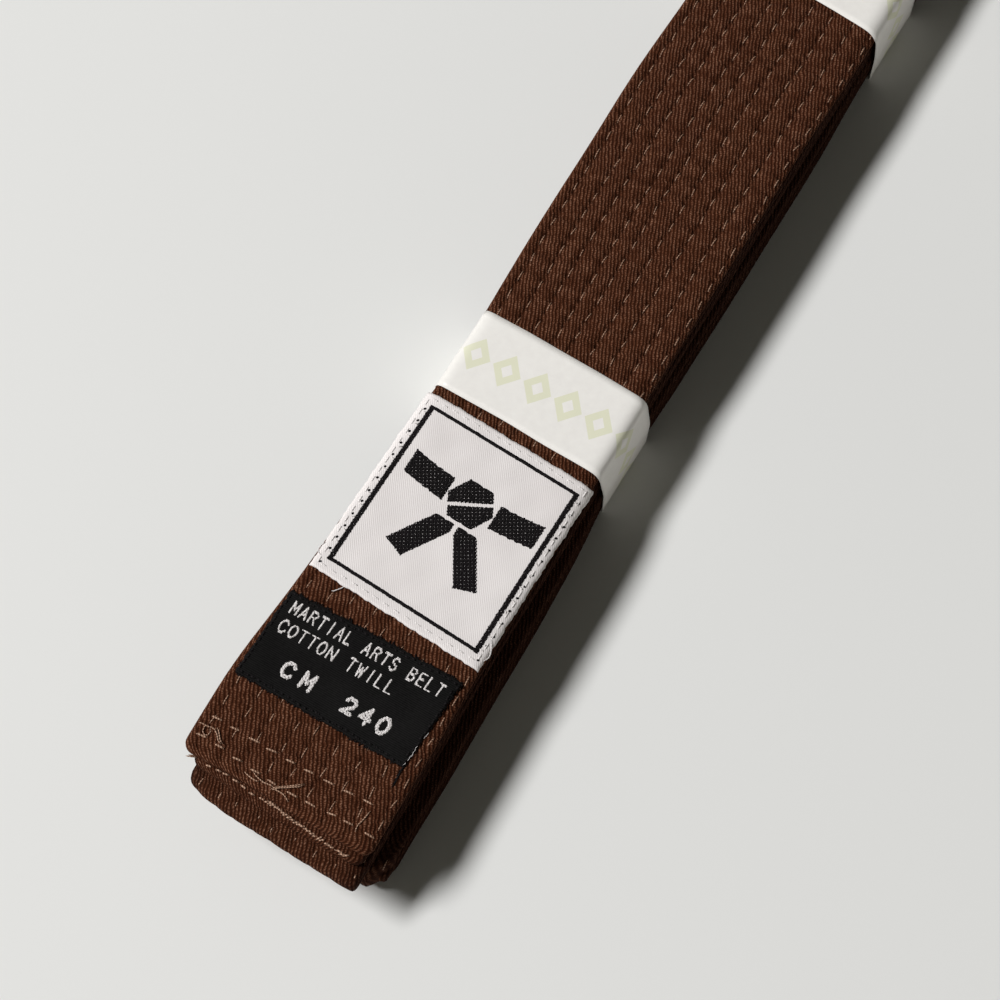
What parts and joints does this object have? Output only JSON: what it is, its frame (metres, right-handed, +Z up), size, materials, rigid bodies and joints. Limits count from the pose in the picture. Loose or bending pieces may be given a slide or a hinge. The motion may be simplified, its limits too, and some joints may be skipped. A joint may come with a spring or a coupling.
{
  "type": "martial arts belt",
  "caption": "Brown cotton-twill martial arts belt, quilted lengthwise and folded flat in eight layers, with a woven patch and a size label, held by white paper bands.",
  "frame": {"origin": "middle of the bundle's footprint, on the surface it lies on", "axes": "+Y along the folded bundle, away from the labelled tip; +X across the belt; +Z up, out of the labelled top layer"},
  "size_m": [0.0422, 0.3058, 0.0201],
  "materials": {
    "brown_twill": "matt cotton twill with diagonal ribs",
    "core_canvas": "unbleached cotton canvas",
    "tan_thread": "light tan sewing thread",
    "white_satin": "off-white woven satin",
    "white_thread": "white sewing thread",
    "black_taffeta": "black woven taffeta",
    "black_thread": "black sewing thread",
    "white_paper": "smooth coated white paper"
  },
  "bodies": {
    "belt": {"twill_casing": "brown_twill", "core_ply_label_side": "core_canvas", "core_ply_seam_side": "core_canvas", "quilting_needle_thread_1": "tan_thread", "quilting_bobbin_thread_1": "tan_thread", "quilting_needle_thread_2": "tan_thread", "quilting_bobbin_thread_2": "tan_thread", "quilting_needle_thread_3": "tan_thread", "quilting_bobbin_thread_3": "tan_thread", "quilting_needle_thread_4": "tan_thread", "quilting_bobbin_thread_4": "tan_thread", "quilting_needle_thread_5": "tan_thread", "quilting_bobbin_thread_5": "tan_thread", "quilting_needle_thread_6": "tan_thread", "quilting_bobbin_thread_6": "tan_thread", "quilting_needle_thread_7": "tan_thread", "quilting_bobbin_thread_7": "tan_thread", "quilting_needle_thread_8": "tan_thread", "quilting_bobbin_thread_8": "tan_thread", "quilting_needle_thread_9": "tan_thread", "quilting_bobbin_thread_9": "tan_thread", "labelled_tip_needle_thread_1": "tan_thread", "labelled_tip_bobbin_thread_1": "tan_thread", "labelled_tip_needle_thread_2": "tan_thread", "labelled_tip_bobbin_thread_2": "tan_thread", "labelled_tip_needle_thread_3": "tan_thread", "labelled_tip_bobbin_thread_3": "tan_thread", "plain_tip_needle_thread_1": "tan_thread", "plain_tip_bobbin_thread_1": "tan_thread", "plain_tip_needle_thread_2": "tan_thread", "plain_tip_bobbin_thread_2": "tan_thread", "plain_tip_needle_thread_3": "tan_thread", "plain_tip_bobbin_thread_3": "tan_thread", "woven_patch": "white_satin", "woven_patch_thread": "white_thread", "size_label": "black_taffeta", "size_label_thread": "black_thread"},
    "near_band": {"near_paper_band": "white_paper"},
    "far_band": {"far_paper_band": "white_paper"}
  },
  "joints": [
    {"name": "near_band_slide", "type": "slide", "parent": "belt", "child": "near_band", "axis": [0, -1, 0], "range_m": [0, 0.12]},
    {"name": "far_band_slide", "type": "slide", "parent": "belt", "child": "far_band", "axis": [0, 1, 0], "range_m": [0, 0.1]}
  ]
}
